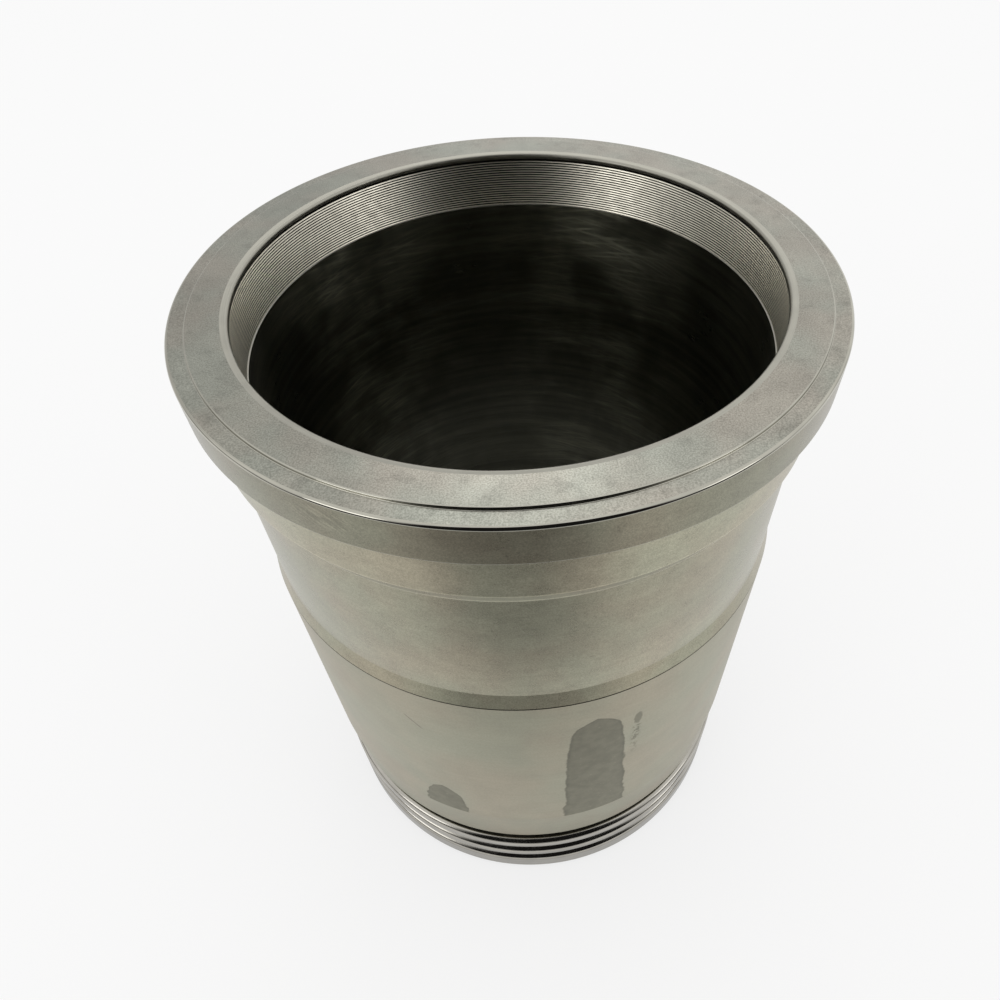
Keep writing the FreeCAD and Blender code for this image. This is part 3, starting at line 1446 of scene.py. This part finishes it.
@dataclass(frozen=True)
class Room:
    """White surroundings that mirrored rays see with dark stretches in front, dim ones elsewhere."""

    diffuse_level: float = 0.85
    doorways: tuple[Doorway, ...] = (
        Doorway(azimuth=-86.0, half_angle=42.0, top=80.0, dimming=0.985, softness=8.0),
        Doorway(azimuth=-86.0, half_angle=72.0, top=12.0, dimming=0.9, softness=10.0),
        Doorway(azimuth=128.0, half_angle=30.0, top=42.0, dimming=0.3),
        Doorway(azimuth=178.0, half_angle=20.0, top=16.0, dimming=0.6, softness=8.0),
        Doorway(azimuth=10.0, half_angle=20.0, top=16.0, dimming=0.3, softness=8.0),
    )

    def light(self) -> None:
        """Light the scene from all round and leave the background white."""
        world = bpy.data.worlds.new("studio")
        bpy.context.scene.world = world
        world.use_nodes = True
        world.cycles.sampling_method = "NONE"
        nodes = Nodes(world.node_tree)
        background = world.node_tree.nodes["Background"]
        background.inputs["Color"].default_value = (1.0, 1.0, 1.0, 1.0)
        direction = nodes.node("ShaderNodeTexCoord").outputs["Generated"]
        parts = nodes.node("ShaderNodeSeparateXYZ")
        nodes.plug(direction, parts.inputs[0])
        azimuth = nodes.math("DEGREES", nodes.math("ARCTAN2", parts.outputs[1], parts.outputs[0]))
        elevation = nodes.math("DEGREES", nodes.math("ARCSINE", parts.outputs[2]))
        level: Value = 1.0
        for doorway in self.doorways:
            shade = doorway.shade(nodes, azimuth, elevation)
            level = nodes.math("MULTIPLY", level, nodes.math("SUBTRACT", 1.0, shade))
        rays = nodes.node("ShaderNodeLightPath").outputs
        mirrored = nodes.math("MULTIPLY", nodes.math("SUBTRACT", 1.0, level), rays["Is Glossy Ray"])
        soft = nodes.math("MULTIPLY", rays["Is Diffuse Ray"], 1.0 - self.diffuse_level)
        strength = nodes.math("SUBTRACT", nodes.math("SUBTRACT", 1.0, mirrored), soft)
        nodes.plug(strength, background.inputs["Strength"])


@dataclass(frozen=True)
class Floor:
    """White floor with a soft shadow, darker in front for mirrored rays, and with a painted shadow
    round the liner's foot that only mirrored rays see.
    """

    radius: float = 3.0
    paint: float = 0.95
    dark: float = 0.68
    dark_across: float = 0.155
    dark_along: float = 0.108
    dark_place: tuple[float, float] = (-0.018, -0.25)
    dark_core: float = 0.4
    dark_edge: float = 1.3
    # Painted shadow: a dark ring round the liner's foot that only mirrored rays see.
    painted_foot_shadow: float = 0.3
    foot_near: float = 0.078
    foot_far: float = 0.094
    bore_edge: float = 0.065
    far_dark: float = 0.95
    far_near: float = 0.36
    far_far: float = 0.5
    far_front: float = -0.35
    far_side: float = -0.1
    glow_share: float = 0.7

    def lay(self) -> None:
        """Lay the floor under the liner."""
        mesh = bmesh.new()
        bmesh.ops.create_circle(mesh, cap_ends=True, segments=64, radius=self.radius)
        shape = bpy.data.meshes.new("floor")
        mesh.to_mesh(shape)
        mesh.free()
        floor = bpy.data.objects.new("floor", shape)
        bpy.context.scene.collection.objects.link(floor)
        shape.materials.append(self.material())

    def material(self) -> bpy.types.Material:
        """Return the floor's paint.

        Returns:
            The new material.
        """
        paint = bpy.data.materials.new("floor paint")
        paint.use_nodes = True
        paint.node_tree.nodes.clear()
        nodes = Nodes(paint.node_tree)
        parts = nodes.node("ShaderNodeSeparateXYZ")
        nodes.plug(nodes.node("ShaderNodeTexCoord").outputs["Object"], parts.inputs[0])
        x, y = parts.outputs[0], parts.outputs[1]
        across = nodes.math("DIVIDE", nodes.math("SUBTRACT", x, self.dark_place[0]), self.dark_across)
        along = nodes.math("DIVIDE", nodes.math("SUBTRACT", y, self.dark_place[1]), self.dark_along)
        front = nodes.ramp(nodes.reach(across, along), self.dark_core, self.dark_edge, self.dark, 0.0)
        # Painted shadow round the foot, for mirrored rays only.
        foot = nodes.ramp(nodes.reach(x, y), self.foot_near, self.foot_far, self.painted_foot_shadow, 0.0)
        far = nodes.product(
            nodes.ramp(nodes.reach(x, y), self.far_near, self.far_far, 0.0, self.far_dark),
            nodes.ramp(y, self.far_front, self.far_side, 1.0, 0.0),
        )
        shade = nodes.math("MAXIMUM", nodes.math("MAXIMUM", front, foot), far)
        rays = nodes.node("ShaderNodeLightPath").outputs
        pale = nodes.math("SUBTRACT", 1.0, nodes.math("MULTIPLY", shade, rays["Is Glossy Ray"]))
        cover = nodes.math("MULTIPLY", pale, self.paint)
        lit = nodes.node("ShaderNodeBsdfDiffuse")
        nodes.plug(nodes.combine(cover, cover, cover), lit.inputs["Color"])
        glow = nodes.node("ShaderNodeEmission")
        nodes.plug(pale, glow.inputs["Strength"])
        seen = nodes.math("MAXIMUM", rays["Is Camera Ray"], rays["Is Glossy Ray"])
        seen = nodes.math("MAXIMUM", seen, rays["Is Transmission Ray"])
        mix = nodes.node("ShaderNodeMixShader")
        outside = nodes.math("GREATER_THAN", nodes.reach(x, y), self.bore_edge)
        nodes.plug(nodes.product(seen, outside, self.glow_share), mix.inputs[0])
        nodes.plug(lit.outputs[0], mix.inputs[1])
        nodes.plug(glow.outputs[0], mix.inputs[2])
        output = nodes.node("ShaderNodeOutputMaterial")
        nodes.plug(mix.outputs[0], output.inputs["Surface"])
        return paint


LAMPS = (
    Lamp("back lamp", azimuth=89.0, elevation=47.0, distance=1.6, width=0.5, level=1.1),
    Lamp("left lamp", azimuth=-142.0, elevation=21.0, distance=1.6, width=0.6, level=1.5),
    Lamp("right lamp", azimuth=-27.0, elevation=21.0, distance=1.6, width=0.5, level=1.2),
)


def main() -> None:
    """Build the liner, dress it and set the studio."""
    logging.basicConfig(level=logging.INFO, format="%(message)s")
    datum = Datum.from_frame()
    turning = Turning(datum.bore_radius + Bore.chamfer_width, 0.0)
    for band in (Foot(), Body(), Neck(), Flange(), Mouth(), Bore()):
        band.draw(turning, datum)
        LOG.info("%s drawn up to %.1f mm along the outline", type(band).__name__, turning.length / MM)
    piece = turning.solid("liner")
    for finish in Finish:
        piece.data.materials.append(FINISHES[finish].make())
    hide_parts(NODE)
    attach(piece, "root")
    LOG.info("liner: %d faces", len(piece.data.polygons))
    Room().light()
    Floor().lay()
    for lamp in LAMPS:
        lamp.hang()
    Camera().place()
    bpy.context.scene.view_settings.view_transform = "Standard"


if __name__ == "__main__":
    main()
